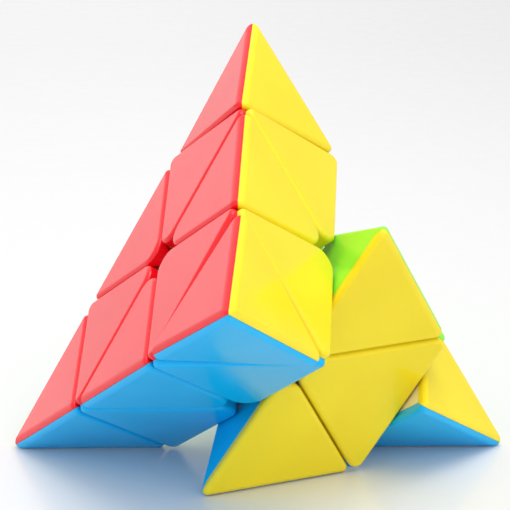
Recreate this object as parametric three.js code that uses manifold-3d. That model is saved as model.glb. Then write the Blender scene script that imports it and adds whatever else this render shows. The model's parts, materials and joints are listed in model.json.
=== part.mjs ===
// Pyramid twisty puzzle, in three rows: four tips, four corner pieces and six edge pieces turn on a
// ball core that four sprung screws hold together. Millimetres and degrees, +Z up, origin on the table
// under the middle of the puzzle.
//
// The pyramid has four corners, named top, left, front and right, and a point's depth below a face is
// measured from the corner opposite that face. Every piece is drawn in the solved puzzle, with the
// centre at the origin, and the groups at the end turn it into place.

import * as THREE from 'three';
import { ConvexGeometry } from 'three/addons/geometries/ConvexGeometry.js';
import { mergeVertices } from 'three/addons/utils/BufferGeometryUtils.js';
import Module from 'manifold-3d';

const wasm = await Module();
wasm.setup();

// ---------------------------------------------------------------- overall sizes

const EDGE = 102; // one edge of the pyramid, between its sharp corners
const HEIGHT = EDGE * Math.sqrt(2 / 3);
const APEX = (HEIGHT * 3) / 4; // centre to a sharp corner
const FACE = HEIGHT / 4; // centre to a face
const ROW = HEIGHT / 3; // height of one row
const TIP_EXTRA = 0.35; // by which a tip is taller than its row
const TIP_CUT = APEX - ROW - TIP_EXTRA; // centre to the plane under a tip
const LAYER_CUT = APEX - 2 * ROW; // centre to the plane under a layer
const GAP = 0.3; // clearance between two pieces
const HALF_GAP = GAP / 2;

// ---------------------------------------------------------------- how the pieces stand

const SLICE_TURN = 75; // the right-hand layer, stopped part-way through a turn
const TIP_TURN = { top: -2.8, left: 0, front: -2.7, right: 0 };

// ---------------------------------------------------------------- outer plastic

const CAP = 2.4; // depth of the coloured cap on a corner or edge piece
const TIP_CAP = 2.2; // depth of the coloured cap on a tip
const RIM_R = 0.9; // rounding along a facet's rims
const RIDGE_R = 1.8; // rounding of the pyramid's own edges
const CENTRE_R = 3.7; // fillet of the facet corners that meet at a face's centre
const CORNER_R = 1.4; // fillet of a facet's other corners
const WALL = 1.8; // wall left round the pockets of a body
const POCKET = 5; // depth of the pocket under a cap
const PEG_R = 1.6; // peg on the back of a cap
const PEG_LENGTH = 3;
const PEG_WALL = 1.3; // boss round a peg's socket

// ---------------------------------------------------------------- ball joint, core and screws

const BALL_COVER = 1.8; // plastic between a cap and the ball joint under it
const BALL_R = FACE - CAP - BALL_COVER; // ball joint between the feet and the outer pieces
const BALL_SIDES = 22; // flats round the ball joint
const CONE = 78; // half-angle of the cone that parts a layer inside the ball joint
const CORE_R = 8;
const ARM_R = 2.6; // arm of the core that a corner piece turns on
const ARM_END = 12; // centre to the end of an arm
const FOOT_PEG_R = (BALL_R / Math.sqrt(3) - LAYER_CUT - GAP) * Math.sqrt(3 / 2); // fills the neck of an edge piece
const FOOT_PEG_REACH = 5.5; // from the ball joint out into the edge piece
const SCREW_R = 1.5;
const SCREW_END = 5; // centre to the point of a screw
const HEAD_R = 2.8;
const HEAD_H = 2;
const RECESS_W = 0.7; // blade of the cross recess
const RECESS_L = 3.2;
const RECESS_D = 1.1;
const HEAD_ROOM = 0.8; // between a screw head and the caps over it
const WIRE_R = 0.35;
const SPRING_R = SCREW_R + WIRE_R + 0.45; // mean radius, free of the screw
const SPRING_PITCH = 1.4;
const TIP_FLOOR = 2.4; // floor of a tip's base, under the spring
const WELL_R = HEAD_R + 0.5; // well in a tip's base for the spring and the screw head
const WELL_WALL = 0.9; // wall left between the well and a cap at the top of the base

// Along a tip's axis, the distance from the centre at which a rod of this radius comes this near a face.
const reachUnderFace = (radius, depth) => 3 * (FACE - depth) - Math.sqrt(8) * radius;

const FLOOR_TOP = TIP_CUT + HALF_GAP + TIP_FLOOR;
const BASE_TOP = reachUnderFace(WELL_R, TIP_CAP + GAP + WELL_WALL);
const HEAD_TOP = reachUnderFace(HEAD_R, TIP_CAP + GAP) - HEAD_ROOM;
const HEAD_SEAT = HEAD_TOP - HEAD_H; // centre to the underside of a screw head
const SPRING_H = HEAD_SEAT - FLOOR_TOP - 2 * GAP;
const SPRING_TURNS = (SPRING_H - 2 * WIRE_R) / SPRING_PITCH;

// ---------------------------------------------------------------- colours

const COLOUR = {
  red: 0xff3a4a,
  yellow: 0xffe628,
  blue: 0x1e96e6,
  green: 0x50f032,
  natural: 0xe8e2d4,
  core: 0x2c2f33,
  steel: 0xb9bcc0,
};
const FACE_COLOUR = { right: 'red', left: 'yellow', top: 'blue', front: 'green' }; // by the corner opposite

// ---------------------------------------------------------------- directions

const CORNERS = ['top', 'left', 'front', 'right'];
const AXIS = {
  top: new THREE.Vector3(0, 0, 1),
  left: new THREE.Vector3(-Math.sqrt(2 / 3), Math.sqrt(2) / 3, -1 / 3),
  front: new THREE.Vector3(0, -Math.sqrt(8) / 3, -1 / 3),
  right: new THREE.Vector3(Math.sqrt(2 / 3), Math.sqrt(2) / 3, -1 / 3),
};
const others = (...names) => CORNERS.filter((name) => !names.includes(name));
const centreOfFace = (opposite) => AXIS[opposite].clone().multiplyScalar(-FACE);

// Along a face, away from its centre and towards one corner.
function along(opposite, corner) {
  const direction = AXIS[corner].clone().addScaledVector(AXIS[opposite], 1 / 3);
  return direction.normalize();
}

// ---------------------------------------------------------------- half-spaces, each normal . x <= limit

const below = (corner, height) => ({ normal: AXIS[corner].clone(), limit: height });
const above = (corner, height) => ({ normal: AXIS[corner].clone().negate(), limit: -height });
const deeper = (opposite, depth) => above(opposite, depth - FACE);
const shallower = (opposite, depth) => below(opposite, depth - FACE);

// The side of the plane midway between two faces that is nearer to the first one.
function mitre(face, otherFace, clearance) {
  const normal = AXIS[face].clone().sub(AXIS[otherFace]).normalize();
  return { normal, limit: -clearance };
}

// Planes that touch the rounding between two half-spaces.
function rounded(a, b, radius, steps) {
  const cosine = a.normal.dot(b.normal);
  const share = 1 - cosine * cosine;
  const toA = (a.limit - radius - cosine * (b.limit - radius)) / share;
  const toB = (b.limit - radius - cosine * (a.limit - radius)) / share;
  const middle = a.normal.clone().multiplyScalar(toA).addScaledVector(b.normal, toB);
  const planes = [];
  for (let step = 1; step <= steps; step += 1) {
    const normal = a.normal.clone().lerp(b.normal, step / (steps + 1)).normalize();
    planes.push({ normal, limit: normal.dot(middle) + radius });
  }
  return planes;
}

// Planes that round one of the pyramid's own edges, and the ends of that edge where cuts cross it.
function ridge(a, b, cuts) {
  const planes = rounded(a, b, RIDGE_R, 3);
  return [...planes, ...cuts.flatMap((cut) => rounded(planes[1], cut, RIM_R, 2))];
}

// The plane that takes off a corner of the pyramid, where its three rounded edges come together.
function bluntTip(corner) {
  const start = APEX - 3 * RIDGE_R;
  return below(corner, start + Math.sqrt(3) * (RIDGE_R - RIM_R) + RIM_R);
}

// The point where three planes meet.
function meeting(a, b, c) {
  const across = a.normal.clone().cross(b.normal);
  const point = b.normal.clone().cross(c.normal).multiplyScalar(a.limit);
  point.addScaledVector(c.normal.clone().cross(a.normal), b.limit);
  return point.addScaledVector(across, c.limit).divideScalar(across.dot(c.normal));
}

// Planes that touch the fillet of a facet's 60 degree corner, drawn across the face.
function fillet(opposite, corner, inward, radius) {
  const up = AXIS[opposite].clone().negate();
  const middle = corner.clone().addScaledVector(inward, 2 * radius);
  return [-30, 0, 30].map((degrees) => {
    const normal = inward.clone().negate().applyAxisAngle(up, THREE.MathUtils.degToRad(degrees));
    return { normal, limit: normal.dot(middle) + radius };
  });
}

// ---------------------------------------------------------------- solids

// The convex solid inside a set of half-spaces.
function convex(planes) {
  const points = [];
  const inside = (point) => planes.every(({ normal, limit }) => normal.dot(point) <= limit + 1e-6);
  const isNew = (point) => points.every((other) => other.distanceTo(point) > 1e-4);
  for (let i = 0; i < planes.length; i += 1) {
    for (let j = i + 1; j < planes.length; j += 1) {
      const cross = planes[i].normal.clone().cross(planes[j].normal);
      for (let k = j + 1; k < planes.length; k += 1) {
        if (Math.abs(cross.dot(planes[k].normal)) < 1e-6) continue;
        const point = meeting(planes[i], planes[j], planes[k]);
        if (inside(point) && isNew(point)) points.push(point);
      }
    }
  }
  return solid(new ConvexGeometry(points));
}

// A closed three.js geometry as a solid that can be joined and cut.
function solid(geometry) {
  const bare = new THREE.BufferGeometry();
  bare.setAttribute('position', geometry.getAttribute('position').clone());
  if (geometry.index) bare.setIndex(geometry.index.clone());
  const welded = mergeVertices(bare, 1e-4);
  const corners = [];
  for (let at = 0; at < welded.index.count; at += 3) {
    const [a, b, c] = welded.index.array.slice(at, at + 3);
    if (a !== b && b !== c && c !== a) corners.push(a, b, c);
  }
  const vertProperties = new Float32Array(welded.getAttribute('position').array);
  const triVerts = new Uint32Array(corners);
  return new wasm.Manifold(new wasm.Mesh({ numProp: 3, vertProperties, triVerts }));
}

// Lays a geometry that was drawn about +Y along a direction.
function lay(geometry, direction) {
  const turn = new THREE.Quaternion().setFromUnitVectors(new THREE.Vector3(0, 1, 0), direction);
  return solid(geometry.applyQuaternion(turn));
}

function rod(direction, radius, from, to, sides) {
  const cylinder = new THREE.CylinderGeometry(radius, radius, to - from, sides);
  return lay(cylinder.translate(0, (from + to) / 2, 0), direction);
}

function rodAt(start, direction, radius, length, sides) {
  return rod(direction, radius, 0, length, sides).translate([start.x, start.y, start.z]);
}

function turned(direction, outline, sides) {
  const points = outline.map(([radius, height]) => new THREE.Vector2(radius, height));
  return lay(new THREE.LatheGeometry(points, sides), direction);
}

const ball = (radius, sides) => solid(new THREE.SphereGeometry(radius, sides, sides / 2));

// A ball whose flats, not its corners, stand at the radius, for cutting a hollow.
const hollow = (radius, sides) => ball(radius / Math.cos(Math.PI / sides) ** 2, sides);

// A cone from the centre out, its side moved along its own normal by a clearance.
function layerCone(corner, clearance) {
  const half = THREE.MathUtils.degToRad(CONE);
  const start = clearance / Math.sin(half);
  const reach = BALL_R + 2;
  const outline = [
    [0, start],
    [reach * Math.tan(half), start + reach],
    [0, start + reach],
  ];
  return turned(AXIS[corner], outline, 32);
}

// ---------------------------------------------------------------- meshes

const COATING = { steel: { roughness: 0.3, metalness: 0.9 }, plastic: { roughness: 0.28, metalness: 0 } };

function part(name, body, colour) {
  const { vertProperties, triVerts } = body.getMesh();
  const geometry = new THREE.BufferGeometry();
  geometry.setAttribute('position', new THREE.BufferAttribute(vertProperties, 3));
  geometry.setIndex(new THREE.BufferAttribute(triVerts, 1));
  geometry.computeVertexNormals();
  const coating = colour === 'steel' ? COATING.steel : COATING.plastic;
  const material = new THREE.MeshStandardMaterial({ color: COLOUR[colour], ...coating });
  const mesh = new THREE.Mesh(geometry, material);
  mesh.name = name;
  return mesh;
}

// ---------------------------------------------------------------- pegs that hold the caps

// The two points of a corner piece's facet that lie on the pyramid's edges.
function shoulders(corner, face) {
  const tip = AXIS[corner].clone().multiplyScalar(APEX);
  return others(corner, face).map((end) => tip.clone().lerp(AXIS[end].clone().multiplyScalar(APEX), 1 / 3));
}

// The middle of a corner piece's facet, on the face.
function capMiddle(corner, face) {
  const [first, second] = shoulders(corner, face);
  return first.clone().add(second).add(centreOfFace(face)).divideScalar(3);
}

// Where a cap's peg stands, on the cap's back.
const pegRoot = (opposite, spot) => spot.clone().addScaledVector(AXIS[opposite], CAP);

function peg(opposite, spot) {
  const start = pegRoot(opposite, spot).addScaledVector(AXIS[opposite], -CAP / 2);
  return rodAt(start, AXIS[opposite], PEG_R, CAP / 2 + PEG_LENGTH, 8);
}

const pegSocket = (opposite, spot) =>
  rodAt(pegRoot(opposite, spot), AXIS[opposite], PEG_R + GAP, PEG_LENGTH + GAP, 10);

const pegBoss = (opposite, spot) =>
  rodAt(pegRoot(opposite, spot), AXIS[opposite], PEG_R + GAP + PEG_WALL, POCKET * 2, 10);

// ---------------------------------------------------------------- tips

function tipPieces(corner) {
  const faces = others(corner);
  const bottom = above(corner, TIP_CUT + HALF_GAP);
  const pieces = faces.map((face) => {
    const facet = deeper(face, 0);
    const planes = [facet, shallower(face, TIP_CAP), bottom, bluntTip(corner)];
    planes.push(...rounded(facet, bottom, RIM_R, 2));
    for (const other of others(corner, face)) {
      const neighbour = deeper(other, 0);
      planes.push(mitre(face, other, HALF_GAP), ...ridge(facet, neighbour, [bottom]));
      planes.push(...rounded(neighbour, bottom, RIM_R, 2));
    }
    return part(`tip_${corner}_cap_${FACE_COLOUR[face]}`, convex(planes), FACE_COLOUR[face]);
  });
  const sides = faces.map((face) => deeper(face, TIP_CAP + GAP));
  const block = convex([bottom, below(corner, BASE_TOP), ...sides]);
  const well = rod(AXIS[corner], WELL_R, FLOOR_TOP, APEX, 16);
  const hole = rod(AXIS[corner], SCREW_R + GAP, 0, APEX, 10);
  pieces.push(part(`tip_${corner}_base`, block.subtract(well).subtract(hole), 'natural'));
  return pieces;
}

// ---------------------------------------------------------------- corner pieces

function cornerFillets(corner, face) {
  const planes = fillet(face, centreOfFace(face), along(face, corner), CENTRE_R);
  const middle = capMiddle(corner, face);
  for (const shoulder of shoulders(corner, face)) {
    planes.push(...fillet(face, shoulder, middle.clone().sub(shoulder).normalize(), CORNER_R));
  }
  return planes;
}

function cornerPieces(corner) {
  const axis = AXIS[corner];
  const faces = others(corner);
  const top = below(corner, TIP_CUT - HALF_GAP);
  const bottom = above(corner, LAYER_CUT + HALF_GAP);
  const pieces = faces.map((face) => {
    const facet = deeper(face, 0);
    const sides = [top, ...others(corner, face).map((other) => below(other, LAYER_CUT - HALF_GAP))];
    const rims = sides.flatMap((side) => rounded(facet, side, RIM_R, 1));
    const mitres = others(corner, face).map((other) => mitre(face, other, HALF_GAP));
    const ridges = others(corner, face).flatMap((other) => rounded(facet, deeper(other, 0), RIDGE_R, 3));
    const shape = [facet, shallower(face, CAP), ...sides, ...rims, ...mitres, ...ridges];
    const plate = convex([...shape, ...cornerFillets(corner, face)]);
    return part(
      `corner_${corner}_cap_${FACE_COLOUR[face]}`,
      plate.add(peg(face, capMiddle(corner, face))),
      FACE_COLOUR[face],
    );
  });

  const walls = faces.map((face) => below(face, LAYER_CUT - HALF_GAP));
  const seats = faces.map((face) => deeper(face, CAP + GAP));
  const centreFillets = faces.flatMap((face) =>
    fillet(face, centreOfFace(face), along(face, corner), CENTRE_R));
  let body = convex([top, bottom, ...walls, ...seats, ...centreFillets]);
  body = body.subtract(hollow(BALL_R + HALF_GAP, BALL_SIDES));
  const boss = rod(axis, ARM_R + GAP + WALL, 0, APEX, 12);
  for (const face of faces) {
    const pocket = convex([
      below(corner, TIP_CUT - HALF_GAP - WALL),
      above(corner, BALL_R + HALF_GAP + WALL),
      shallower(face, CAP + GAP + POCKET),
      deeper(face, 0),
      ...others(corner, face).map((other) => below(other, LAYER_CUT - HALF_GAP - WALL)),
      ...others(corner, face).map((other) => deeper(other, CAP + GAP + WALL)),
    ]);
    body = body.subtract(pocket.subtract(boss.add(pegBoss(face, capMiddle(corner, face)))));
  }

  const slope = Math.tan(Math.acos(-1 / 3) - THREE.MathUtils.degToRad(CONE));
  const sideways = HALF_GAP * Math.hypot(1, slope);
  const stemFoot = CORE_R + GAP;
  const stemTop = BALL_R + 1;
  body = body.add(turned(axis, [
    [0, stemFoot],
    [stemFoot * slope - sideways, stemFoot],
    [stemTop * slope - sideways, stemTop],
    [0, stemTop],
  ], 16));
  for (const face of faces) body = body.subtract(pegSocket(face, capMiddle(corner, face)));
  body = body.subtract(rod(axis, ARM_R + GAP, 0, ARM_END + GAP, 12));
  body = body.subtract(rod(axis, SCREW_R + GAP, 0, APEX, 10));
  pieces.push(part(`corner_${corner}_body`, body, 'natural'));
  return pieces;
}

// ---------------------------------------------------------------- edge pieces

// Each edge piece is moulded in the colour of one face and carries a cap of the other.
const EDGES = [
  { ends: ['top', 'left'], capFace: 'right' },
  { ends: ['top', 'front'], capFace: 'left' },
  { ends: ['left', 'front'], capFace: 'right' },
  { ends: ['top', 'right'], capFace: 'left' },
  { ends: ['front', 'right'], capFace: 'left' },
  { ends: ['left', 'right'], capFace: 'front' },
];

function edgePieces({ ends, capFace }) {
  const bodyFace = others(...ends, capFace)[0];
  const name = `edge_${ends.join('_')}`;
  const outward = AXIS[ends[0]].clone().add(AXIS[ends[1]]).normalize();
  const cuts = ends.map((end) => above(end, LAYER_CUT + HALF_GAP));
  const facets = { [capFace]: deeper(capFace, 0), [bodyFace]: deeper(bodyFace, 0) };
  const middleOf = (face) => along(face, bodyFace === face ? capFace : bodyFace).negate();
  const filletsOf = (face) => fillet(face, centreOfFace(face), middleOf(face), CENTRE_R);
  const rims = [capFace, bodyFace].flatMap((face) =>
    cuts.flatMap((cut) => rounded(facets[face], cut, RIM_R, 2)));
  const shell = [facets[capFace], facets[bodyFace], ...cuts, ...rims];
  shell.push(...ridge(facets[capFace], facets[bodyFace], cuts));
  const fillets = [...filletsOf(capFace), ...filletsOf(bodyFace)];

  const spot = centreOfFace(capFace).addScaledVector(middleOf(capFace), EDGE / 3 / Math.sqrt(3));
  const plate = convex([...shell, ...fillets, shallower(capFace, CAP), mitre(capFace, bodyFace, HALF_GAP)]);
  const cap = plate.add(peg(capFace, spot));

  const seat = convex([
    deeper(capFace, -CAP),
    shallower(capFace, CAP + GAP),
    mitre(capFace, bodyFace, -HALF_GAP),
    ...ends.map((end) => above(end, 0)),
  ]);
  let body = convex([...shell, ...fillets]).subtract(seat).subtract(hollow(BALL_R + HALF_GAP, BALL_SIDES));
  const socketEnd = BALL_R + FOOT_PEG_REACH + GAP;
  const pocket = convex([
    { normal: outward.clone().negate(), limit: -socketEnd - WALL },
    ...ends.map((end) => above(end, LAYER_CUT + HALF_GAP + WALL)),
    deeper(bodyFace, CAP),
    deeper(capFace, 0),
  ]);
  body = body.subtract(pocket.subtract(pegBoss(capFace, spot)));
  body = body.subtract(rod(outward, FOOT_PEG_R + GAP, 0, socketEnd, 12));
  body = body.subtract(pegSocket(capFace, spot));

  let foot = ball(BALL_R - HALF_GAP, BALL_SIDES).subtract(hollow(CORE_R + GAP, 14));
  for (const end of ends) foot = foot.intersect(layerCone(end, HALF_GAP));
  for (const end of others(...ends)) foot = foot.subtract(layerCone(end, -HALF_GAP));
  foot = foot.add(rod(outward, FOOT_PEG_R, (CORE_R + BALL_R) / 2, BALL_R + FOOT_PEG_REACH, 12));

  return [
    part(`${name}_body`, body, FACE_COLOUR[bodyFace]),
    part(`${name}_cap`, cap, FACE_COLOUR[capFace]),
    part(`${name}_foot`, foot, 'natural'),
  ];
}

// ---------------------------------------------------------------- core, screws and springs

function corePiece() {
  let core = ball(CORE_R, 16);
  for (const corner of CORNERS) core = core.add(rod(AXIS[corner], ARM_R, CORE_R / 2, ARM_END, 12));
  for (const corner of CORNERS) {
    core = core.subtract(rod(AXIS[corner], SCREW_R + GAP, SCREW_END - GAP, ARM_END + 1, 10));
  }
  return part('core', core, 'core');
}

function screwPiece(corner) {
  let screw = turned(AXIS[corner], [
    [0, SCREW_END],
    [SCREW_R * 0.5, SCREW_END],
    [SCREW_R, SCREW_END + SCREW_R],
    [SCREW_R, HEAD_SEAT],
    [HEAD_R, HEAD_SEAT],
    [HEAD_R, HEAD_SEAT + HEAD_H * 0.45],
    [HEAD_R * 0.82, HEAD_TOP - HEAD_H * 0.2],
    [HEAD_R * 0.5, HEAD_TOP],
    [0, HEAD_TOP],
  ], 12);
  for (const [width, depth] of [[RECESS_L, RECESS_W], [RECESS_W, RECESS_L]]) {
    const blade = new THREE.BoxGeometry(width, RECESS_D * 2, depth);
    screw = screw.subtract(lay(blade.translate(0, HEAD_TOP, 0), AXIS[corner]));
  }
  return part(`screw_${corner}`, screw, 'steel');
}

class Helix extends THREE.Curve {
  constructor(radius, rise, turns) {
    super();
    this.radius = radius;
    this.rise = rise;
    this.turns = turns;
  }

  getPoint(share, target = new THREE.Vector3()) {
    const angle = share * this.turns * 2 * Math.PI;
    return target.set(
      this.radius * Math.cos(angle),
      share * this.rise,
      this.radius * Math.sin(angle),
    );
  }
}

function springPiece(corner) {
  const wire = new THREE.Shape().absarc(0, 0, WIRE_R, 0, 2 * Math.PI);
  const helix = new Helix(SPRING_R, SPRING_H - 2 * WIRE_R, SPRING_TURNS);
  const coil = new THREE.ExtrudeGeometry(wire, {
    extrudePath: helix,
    steps: Math.round(SPRING_TURNS * 10),
    curveSegments: 3,
    bevelEnabled: false,
  });
  const foot = FLOOR_TOP + GAP + WIRE_R;
  return part(`spring_${corner}`, lay(coil.translate(0, foot, 0), AXIS[corner]), 'steel');
}

// ---------------------------------------------------------------- assembly

function turnedGroup(corner, degrees) {
  const group = new THREE.Group();
  group.quaternion.setFromAxisAngle(AXIS[corner], THREE.MathUtils.degToRad(degrees));
  return group;
}

const pyramid = new THREE.Group();
const slice = turnedGroup('right', SLICE_TURN);
pyramid.add(slice, corePiece());
for (const corner of CORNERS) {
  const tip = turnedGroup(corner, TIP_TURN[corner]);
  tip.name = `tip_${corner}`;
  tip.add(...tipPieces(corner));
  pyramid.add(tip, screwPiece(corner), springPiece(corner));
  (corner === 'right' ? slice : pyramid).add(...cornerPieces(corner));
}
for (const edge of EDGES) {
  (edge.ends.includes('right') ? slice : pyramid).add(...edgePieces(edge));
}

// Every vertex of a group, in the pyramid's own frame.
function vertices(group) {
  group.updateMatrixWorld(true);
  const points = [];
  group.traverse((mesh) => {
    if (!mesh.isMesh) return;
    const position = mesh.geometry.getAttribute('position');
    for (let at = 0; at < position.count; at += 1) {
      points.push(new THREE.Vector3().fromBufferAttribute(position, at).applyMatrix4(mesh.matrixWorld));
    }
  });
  return points;
}

const tilted = (point, tilt) => point.z * Math.cos(tilt) - point.y * Math.sin(tilt);
const lowest = (points, tilt) => Math.min(...points.map((point) => tilted(point, tilt)));

// The puzzle leans back until the left and right tips and the turned layer's corner stand level.
const rests = ['left', 'right'].flatMap((corner) => vertices(pyramid.getObjectByName(`tip_${corner}`)));
const turnedLayer = vertices(slice);
let [low, high] = [0, Math.PI / 2];
for (let step = 0; step < 40; step += 1) {
  const tilt = (low + high) / 2;
  if (lowest(turnedLayer, tilt) < lowest(rests, tilt)) low = tilt;
  else high = tilt;
}
pyramid.rotation.x = -high;

const box = new THREE.Box3().setFromPoints(vertices(pyramid));
const middle = box.getCenter(new THREE.Vector3());
pyramid.position.set(-middle.x, -middle.y, -box.min.z);

const group = new THREE.Group();
group.add(pyramid);

export default group;
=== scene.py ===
"""Pyramid twisty puzzle: the visual pieces, their finishes and a small studio.

Every outer piece starts as a block with all its edges rounded, which is cut into the coloured caps and the
body that they are pressed onto. The core, feet, screws and springs inside stand where the frame's bodies
turn. Pieces are drawn in the solved puzzle, about its centre, and are then turned into place.
"""

import itertools
import json
import math

import bmesh
import bpy
import numpy as np
from bpy.props import FloatProperty, FloatVectorProperty, IntProperty, PointerProperty
from mathutils import Matrix, Vector


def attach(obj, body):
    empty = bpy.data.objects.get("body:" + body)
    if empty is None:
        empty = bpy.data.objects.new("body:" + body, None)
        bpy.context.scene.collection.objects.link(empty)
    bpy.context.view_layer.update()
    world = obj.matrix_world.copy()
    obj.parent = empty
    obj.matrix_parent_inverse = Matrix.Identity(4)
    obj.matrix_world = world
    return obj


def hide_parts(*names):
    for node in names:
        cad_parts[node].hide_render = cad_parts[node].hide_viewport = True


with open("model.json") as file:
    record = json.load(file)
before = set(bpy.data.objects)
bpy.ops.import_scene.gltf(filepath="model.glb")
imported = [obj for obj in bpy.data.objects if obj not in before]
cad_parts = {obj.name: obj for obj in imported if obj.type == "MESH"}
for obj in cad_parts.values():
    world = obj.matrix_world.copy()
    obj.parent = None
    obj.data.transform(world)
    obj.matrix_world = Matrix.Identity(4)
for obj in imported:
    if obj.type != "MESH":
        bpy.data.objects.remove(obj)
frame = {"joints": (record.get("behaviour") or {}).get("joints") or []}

bl_info = {
    "name": "Pyramid Twisty Puzzle",
    "version": (1, 0, 0),
    "blender": (4, 5, 0),
    "location": "View3D > Sidebar > Puzzle",
    "description": "Builds a three-row pyramid puzzle of coloured plastic with one layer part-turned",
    "category": "Object",
}

# ---------------------------------------------------------------- the frame

CORNERS = ("top", "left", "front", "right")
JOINTS = {joint["name"]: joint for joint in frame["joints"]}
CENTRE = np.array(JOINTS["tip_top_turn"]["pos_m"], float)
AXIS = {corner: np.array(JOINTS[f"tip_{corner}_turn"]["axis"], float) for corner in CORNERS}
AXIS = {corner: axis / np.linalg.norm(axis) for corner, axis in AXIS.items()}
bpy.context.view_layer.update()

FACE_COLOUR = {"right": "red", "left": "yellow", "top": "blue", "front": "green"}  # by the corner opposite

# Each edge piece: its two corners, the face that its cap lies on and the face whose colour its body has.
EDGES = (
    ("top", "left", "right", "front"),
    ("top", "front", "left", "right"),
    ("left", "front", "right", "top"),
    ("top", "right", "left", "front"),
    ("front", "right", "left", "top"),
    ("left", "right", "front", "top"),
)


# ---------------------------------------------------------------- sizes and colours


def length(name, description, default, **more):
    return FloatProperty(
        name=name, description=description, default=default, min=0.0, unit="LENGTH", precision=5, **more
    )


def turn(name, description, degrees):
    return FloatProperty(
        name=name, description=description, default=math.radians(degrees), subtype="ANGLE", unit="ROTATION"
    )


def colour(name, description, default):
    return FloatVectorProperty(
        name=name, description=description, default=default, size=3, min=0.0, max=1.0, subtype="COLOR"
    )


class PuzzleSizes(bpy.types.PropertyGroup):
    edge: length("Edge", "One edge of the pyramid, between its sharp corners", 0.102)
    gap: length("Gap", "Clearance between two pieces", 0.0003)
    cap: length("Cap depth", "Depth of the coloured cap on a corner or edge piece", 0.0024)
    tip_cap: length("Tip cap depth", "Depth of the coloured cap on a tip", 0.0022)
    rounding: length("Rim rounding", "Radius along a facet's rims", 0.0009)
    ridge: length("Ridge rounding", "Radius along the pyramid's own edges", 0.0018)
    tip_extra: length("Tip extra", "By which a tip is taller than its row", 0.00035)
    centre_fillet: length("Centre fillet", "Radius of the facet corners round a face's centre", 0.0037)
    shoulder_fillet: length("Shoulder fillet", "Radius of a corner piece's facet at a ridge", 0.0017)
    seam: length("Seam", "Fine line between a cap and what it is pressed onto", 0.00005)
    skirt: length("Skirt radius", "Reach of the deeper rim of a cap round a face's centre", 0.0065)
    skirt_depth: length("Skirt depth", "Depth of that rim below the cap", 0.0017)
    peg: length("Peg radius", "Peg on the back of a cap", 0.0016)
    peg_length: length("Peg length", "Length of the peg on the back of a cap", 0.003)
    ball_cover: length("Ball cover", "Plastic between a cap and the ball joint", 0.0018)
    foot_reach: length("Foot reach", "How far a foot's peg goes out of the ball joint", 0.0055)
    core: length("Core radius", "Ball at the middle of the puzzle", 0.008)
    arm: length("Arm radius", "Arm of the core that a corner piece turns on", 0.0026)
    arm_end: length("Arm end", "Centre to the end of an arm", 0.012)
    screw: length("Screw radius", "Radius of a screw over its thread", 0.0015)
    screw_end: length("Screw point", "Centre to the point of a screw", 0.005)
    screw_pitch: length("Thread pitch", "Rise of a screw's thread in one turn", 0.0006)
    thread: length("Thread depth", "Depth of a screw's thread", 0.0003)
    head: length("Head radius", "Radius of a screw head", 0.0028)
    head_height: length("Head height", "Height of a screw head", 0.002)
    recess_length: length("Recess length", "Length of the cross recess in a screw head", 0.0032)
    recess_width: length("Recess width", "Width of the cross recess's blades", 0.0007)
    recess_depth: length("Recess depth", "Depth of the cross recess", 0.0011)
    wire: length("Wire radius", "Radius of a spring's wire", 0.00035)
    spring: length("Spring radius", "Mean radius of a spring's coil", 0.0023)
    spring_pitch: length("Spring pitch", "Rise of a spring's coil in one turn", 0.0014)
    head_room: length("Head room", "Between a screw head and the caps over it", 0.0008)
    well_room: length("Well room", "Between a screw head and the well round it", 0.0005)
    well_wall: length("Well wall", "Wall left between a tip's well and its caps", 0.0009)
    tip_floor: length("Tip floor", "Floor of a tip's base, under its spring", 0.0024)
    slice_turn: turn("Layer turn", "How far the right-hand layer has been turned", 75.0)
    tip_top: turn("Top tip turn", "How far the top tip has been turned", -2.8)
    tip_left: turn("Left tip turn", "How far the left tip has been turned", 0.0)
    tip_front: turn("Front tip turn", "How far the front tip has been turned", -2.7)
    tip_right: turn("Right tip turn", "How far the right tip has been turned", 0.0)
    step: turn("Rounding step", "Angle covered by one facet of a rounding", 7.5)
    sides: IntProperty(name="Round sides", description="Facets round a bore or a ball", default=64, min=12)


class PuzzleColours(bpy.types.PropertyGroup):
    red: colour("Red", "Red plastic", (0.93, 0.004, 0.014))
    yellow: colour("Yellow", "Yellow plastic", (0.96, 0.77, 0.022))
    blue: colour("Blue", "Blue plastic", (0.002, 0.50, 1.0))
    green: colour("Green", "Green plastic", (0.31, 0.93, 0.06))
    natural: colour("Natural", "Uncoloured plastic of the bodies under the caps", (0.95, 0.84, 0.52))
    core: colour("Core", "Dark plastic of the core", (0.03, 0.034, 0.04))
    steel: colour("Steel", "Screws and springs", (0.62, 0.63, 0.65))
    paper: colour("Paper", "Floor of the studio", (0.76, 0.76, 0.76))


class PuzzleStudio(bpy.types.PropertyGroup):
    floor: FloatProperty(name="Floor", description="Radius of the floor", default=6.0, unit="LENGTH")
    sky: FloatProperty(name="Surround", description="Brightness of the white surround", default=0.95)
    lobe: FloatProperty(name="Left wall", description="Brightness behind on the left", default=1.07)
    dim: FloatProperty(name="Far corner", description="Brightness behind on the right", default=0.38)
    key: FloatProperty(name="Key light", description="Power of the soft light overhead", default=6.3)
    fill: FloatProperty(name="Fill light", description="Power of the soft light by the camera", default=2.1)
    lens: FloatProperty(name="Lens", description="Focal length in millimetres", default=203.9)
    yaw: turn("Yaw", "Camera's turn about the vertical, from facing straight back", -3.58)
    pitch: turn("Pitch", "Camera's tilt up from the level", -16.905)
    roll: turn("Roll", "Camera's turn about its own line of sight", -1.55)
    camera: FloatVectorProperty(
        name="Camera place",
        description="From the middle of the bottom ridge to the camera",
        default=(0.03463, -0.54343, 0.20645),
        subtype="TRANSLATION",
        unit="LENGTH",
        precision=5,
    )


# ---------------------------------------------------------------- planes and half-spaces

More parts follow.
